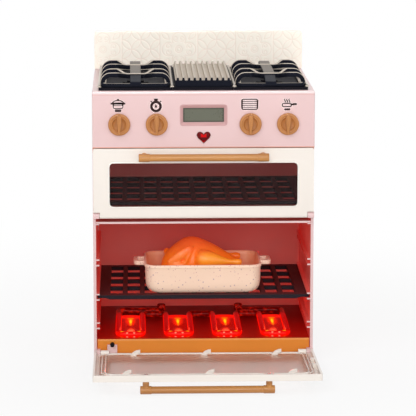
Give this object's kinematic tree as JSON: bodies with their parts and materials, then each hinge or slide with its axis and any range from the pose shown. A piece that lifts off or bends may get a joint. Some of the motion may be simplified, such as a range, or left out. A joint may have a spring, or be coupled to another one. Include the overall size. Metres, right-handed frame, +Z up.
{
  "type": "toy oven",
  "caption": "Toy double-cavity range oven with two drop-down doors, turning knobs, burner grates, a griddle, racks, a glowing element and a roasting pan with a roast",
  "frame": {"origin": "centre of the housing's footprint, on the floor plane that the bottom panel stands on", "axes": "X to the viewer's right, Y to the back, Z up; the doors, knobs and display face -Y"},
  "size_m": [0.212, 0.3185, 0.3036],
  "materials": {
    "pink_plastic": "satin moulded plastic",
    "dusty_pink_plastic": "satin moulded plastic",
    "cream_plastic": "satin moulded plastic",
    "tan_plastic": "satin moulded plastic, caramel tan",
    "heater_tan_plastic": "satin moulded plastic",
    "black_plastic": "satin moulded plastic",
    "rack_black_plastic": "satin moulded plastic",
    "champagne_paint": "black plastic painted a pearly champagne",
    "clear_pane": "thin clear plastic",
    "display_lens": "smooth, grey-green",
    "heart_red": "translucent deep red",
    "heater_red": "translucent red, lit from below",
    "light_amber": "clear amber",
    "plated_steel": "plated",
    "board_green": "circuit board",
    "pan_speckled": "peach, finely speckled",
    "roast_orange": "roast orange with redder shading"
  },
  "bodies": {
    "oven_body": {"housing": "pink_plastic", "bottom_panel": "pink_plastic", "cavity_divider": "pink_plastic", "cavity_back_wall": "pink_plastic", "rear_cover": "pink_plastic", "battery_cover": "pink_plastic", "backsplash": "cream_plastic", "cooktop_insert_left": "black_plastic", "cooktop_insert_middle": "black_plastic", "cooktop_insert_right": "black_plastic", "burner_grate_left": "black_plastic", "burner_grate_right": "black_plastic", "griddle_plate": "champagne_paint", "display_bezel": "dusty_pink_plastic", "display_lens": "display_lens", "control_board": "board_green", "heater_tray": "heater_tan_plastic", "heating_element": "heater_red", "light_1": "light_amber", "light_2": "light_amber", "light_3": "light_amber", "light_4": "light_amber", "light_board": "board_green", "door_switch_body": "black_plastic", "battery_box": "black_plastic", "battery_1": "plated_steel", "battery_2": "plated_steel", "battery_3": "plated_steel", "battery_cover_screw": "plated_steel", "speaker": "black_plastic", "rack_upper": "rack_black_plastic", "rear_cover_screw_1": "plated_steel", "rear_cover_screw_2": "plated_steel", "rear_cover_screw_3": "plated_steel", "rear_cover_screw_4": "plated_steel"},
    "upper_door": {"upper_door_frame": "cream_plastic", "upper_door_window": "clear_pane", "upper_door_handle": "tan_plastic", "upper_handle_screw_left": "plated_steel", "upper_handle_screw_right": "plated_steel"},
    "lower_door": {"lower_door_frame": "cream_plastic", "lower_door_window": "clear_pane", "lower_door_handle": "tan_plastic", "lower_handle_screw_left": "plated_steel", "lower_handle_screw_right": "plated_steel"},
    "knob_outer_left": {"knob_outer_left": "tan_plastic"},
    "knob_inner_left": {"knob_inner_left": "tan_plastic"},
    "knob_inner_right": {"knob_inner_right": "tan_plastic"},
    "knob_outer_right": {"knob_outer_right": "tan_plastic"},
    "heart_button": {"heart_button": "heart_red"},
    "door_switch": {"door_switch_plunger": "black_plastic"},
    "lower_rack": {"rack_lower": "rack_black_plastic"},
    "pan": {"roasting_pan": "pan_speckled"},
    "roast": {"roast": "roast_orange"}
  },
  "joints": [
    {"name": "upper_door_hinge", "type": "hinge", "parent": "oven_body", "child": "upper_door", "pos_m": [0, -0.0912, 0.1448], "axis": [1, 0, 0], "range_deg": [0, 90]},
    {"name": "lower_door_hinge", "type": "hinge", "parent": "oven_body", "child": "lower_door", "pos_m": [0, -0.0912, 0.0102], "axis": [-1, 0, 0], "range_deg": [0, 87.27]},
    {"name": "knob_outer_left_turn", "type": "hinge", "parent": "oven_body", "child": "knob_outer_left", "pos_m": [-0.0803, -0.0943, 0.2333], "axis": [0, -1, 0], "continuous": true},
    {"name": "knob_inner_left_turn", "type": "hinge", "parent": "oven_body", "child": "knob_inner_left", "pos_m": [-0.04465, -0.0943, 0.2333], "axis": [0, -1, 0], "continuous": true},
    {"name": "knob_inner_right_turn", "type": "hinge", "parent": "oven_body", "child": "knob_inner_right", "pos_m": [0.04465, -0.0943, 0.2333], "axis": [0, -1, 0], "continuous": true},
    {"name": "knob_outer_right_turn", "type": "hinge", "parent": "oven_body", "child": "knob_outer_right", "pos_m": [0.0803, -0.0943, 0.2333], "axis": [0, -1, 0], "continuous": true},
    {"name": "heart_button_press", "type": "slide", "parent": "oven_body", "child": "heart_button", "axis": [0, 1, 0], "range_m": [0, 0.0015], "stiffness_N_per_m": 200},
    {"name": "door_switch_press", "type": "slide", "parent": "oven_body", "child": "door_switch", "axis": [0, 1, 0], "range_m": [0, 0.002], "stiffness_N_per_m": 100},
    {"name": "lower_rack_slide", "type": "slide", "parent": "oven_body", "child": "lower_rack", "axis": [0, 1, 0], "range_m": [-0.12, 0]},
    {"name": "pan_slide", "type": "slide", "parent": "lower_rack", "child": "pan", "axis": [0, 1, 0], "range_m": [-0.15, 0]},
    {"name": "roast_lift", "type": "slide", "parent": "pan", "child": "roast", "axis": [0, 0, 1], "range_m": [0, 0.018]}
  ]
}
